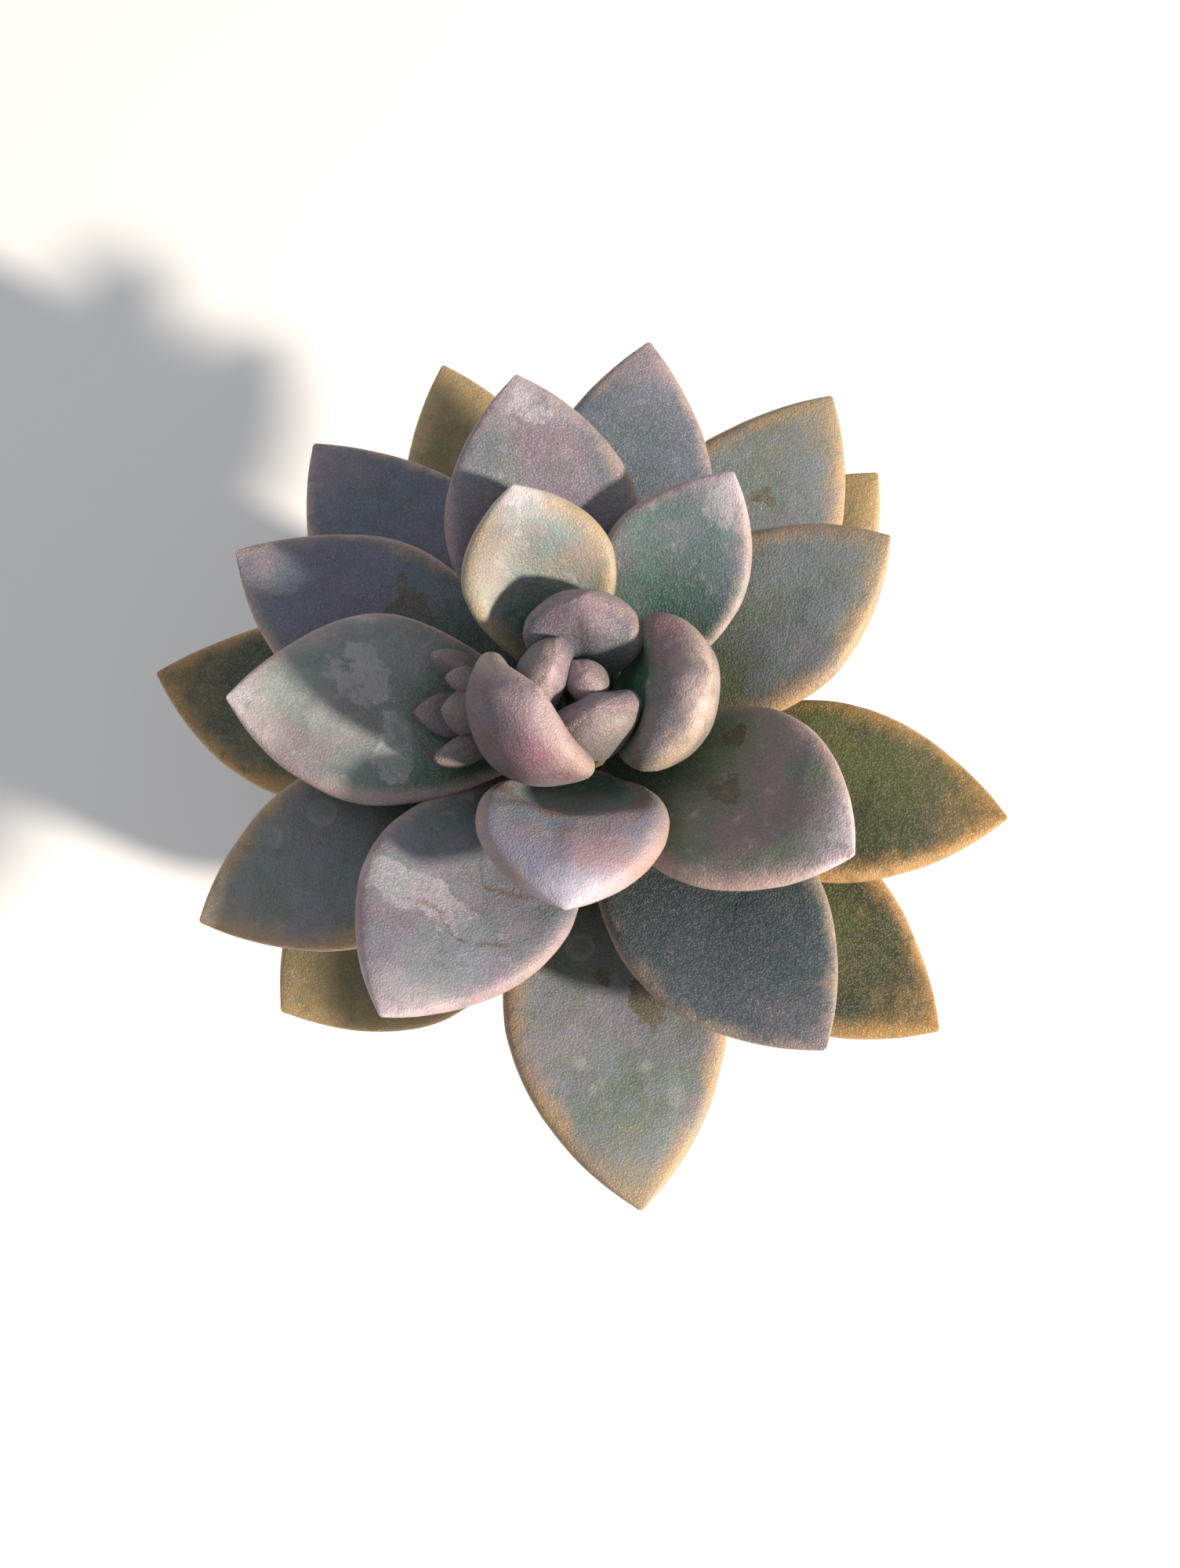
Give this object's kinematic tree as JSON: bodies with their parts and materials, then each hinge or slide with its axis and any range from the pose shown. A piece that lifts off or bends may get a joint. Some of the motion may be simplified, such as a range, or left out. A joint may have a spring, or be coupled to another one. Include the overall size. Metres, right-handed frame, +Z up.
{
  "type": "potted succulent",
  "caption": "Open rosette of thick pointed fleshy leaves with a small side shoot, on a short stem in a plain tapered clay pot with a rim band and a drainage hole.",
  "frame": {"origin": "on the surface the pot stands on, under the middle of the whole object's bounding box, which is the pot's own axis", "axes": "+Z up, along the pot's axis; -Y towards the side from which the rosette is seen at its best; +X to the right from there"},
  "size_m": [0.118, 0.1248, 0.1122],
  "materials": {
    "inner_leaf": "satin waxy skin, lilac pink with a pale bloom",
    "middle_leaf": "satin waxy skin, blue-green to lilac grey with a pale rim",
    "outer_leaf": "satin waxy skin, grey olive green with an ochre rim",
    "stem_bark": "dry matt bark with leaf scars",
    "potting_soil": "loose dark compost with grit",
    "clay": "plain unglazed fired clay, matt"
  },
  "bodies": {
    "root": {"leaf_01": "inner_leaf", "leaf_02": "inner_leaf", "leaf_03": "inner_leaf", "leaf_04": "inner_leaf", "leaf_05": "inner_leaf", "leaf_06": "inner_leaf", "leaf_07": "inner_leaf", "leaf_08": "inner_leaf", "leaf_09": "middle_leaf", "leaf_10": "middle_leaf", "leaf_11": "middle_leaf", "leaf_12": "middle_leaf", "leaf_13": "middle_leaf", "leaf_14": "middle_leaf", "leaf_15": "middle_leaf", "leaf_16": "middle_leaf", "leaf_17": "outer_leaf", "leaf_18": "outer_leaf", "leaf_19": "outer_leaf", "leaf_20": "outer_leaf", "leaf_21": "outer_leaf", "leaf_22": "outer_leaf", "leaf_23": "outer_leaf", "leaf_24": "outer_leaf", "leaf_25": "outer_leaf", "leaf_26": "outer_leaf", "leaf_27": "outer_leaf", "side_leaf_1": "inner_leaf", "side_leaf_2": "inner_leaf", "side_leaf_3": "inner_leaf", "side_leaf_4": "inner_leaf", "side_leaf_5": "inner_leaf", "side_stalk": "stem_bark", "stem": "stem_bark", "soil": "potting_soil", "pot": "clay"}
  },
  "joints": []
}
